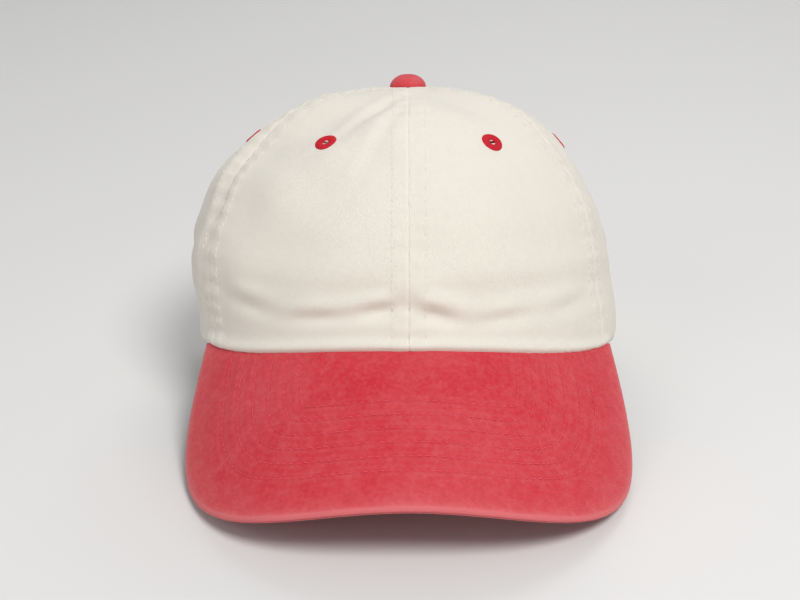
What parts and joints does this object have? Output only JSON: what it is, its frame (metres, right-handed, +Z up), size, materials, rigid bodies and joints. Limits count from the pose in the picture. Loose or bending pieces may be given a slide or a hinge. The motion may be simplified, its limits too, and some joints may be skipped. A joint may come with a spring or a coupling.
{
  "type": "bump cap",
  "caption": "Soft six-panel cap with a curved visor, a stitched eyelet in each panel, a covered top button, a buckled back strap and a removable hard insert with foam pads.",
  "frame": {"origin": "centre of the bounding box at the height of the surface the cap stands on", "axes": "+Z up; the visor points along -Y; +X is the wearer's left"},
  "size_m": [0.19, 0.2586, 0.1362],
  "materials": {
    "crown_twill": "washed cotton twill",
    "seam_tape": "plain cotton tape",
    "red_thread": "embroidered",
    "red_twill": "garment-dyed cotton twill, washed out at the edges",
    "tinned_steel": "tinned",
    "board": "moulded polyethylene",
    "sweatband_cotton": "folded cotton twill",
    "label_tape": "woven satin tape",
    "strap_twill": "garment-dyed cotton twill, folded and stitched",
    "brass": "aged, satin",
    "shell_plastic": "moulded, fine texture",
    "foam": "closed-cell foam",
    "hook_tape": "hook and loop"
  },
  "bodies": {
    "cap": {"front_panel_left": "crown_twill", "side_panel_left": "crown_twill", "back_panel_left": "crown_twill", "back_panel_right": "crown_twill", "side_panel_right": "crown_twill", "front_panel_right": "crown_twill", "seam_tape_front": "seam_tape", "seam_tape_front_left": "seam_tape", "seam_tape_back_left": "seam_tape", "seam_tape_back": "seam_tape", "seam_tape_back_right": "seam_tape", "seam_tape_front_right": "seam_tape", "eyelet_front_left": "red_thread", "eyelet_side_left": "red_thread", "eyelet_back_left": "red_thread", "eyelet_back_right": "red_thread", "eyelet_side_right": "red_thread", "eyelet_front_right": "red_thread", "button_cover": "red_twill", "button_cap": "tinned_steel", "button_rivet": "tinned_steel", "button_washer": "tinned_steel", "visor_board": "board", "visor_top_cover": "red_twill", "visor_under_cover": "red_twill", "sweatband": "sweatband_cotton", "size_label": "label_tape", "back_binding": "seam_tape", "strap_short": "strap_twill", "strap_tail": "strap_twill", "strap_keeper": "strap_twill", "buckle_frame": "brass", "buckle_pin": "brass", "loop_tabs": "hook_tape"},
    "insert": {"insert_shell": "shell_plastic", "crown_pad": "foam", "front_pad": "foam", "left_pad": "foam", "right_pad": "foam", "back_pad": "foam", "hook_tabs": "hook_tape"},
    "lever": {"buckle_lever": "brass"}
  },
  "joints": [
    {"name": "buckle_lever_hinge", "type": "hinge", "parent": "cap", "child": "lever", "pos_m": [0.007, 0.12391, 0.01517], "axis": [0, -0.2732, -0.962], "range_deg": [0, 100]},
    {"name": "insert_slide", "type": "slide", "parent": "cap", "child": "insert", "axis": [0, -0.2732, -0.962], "range_m": [0, 0.022]}
  ]
}
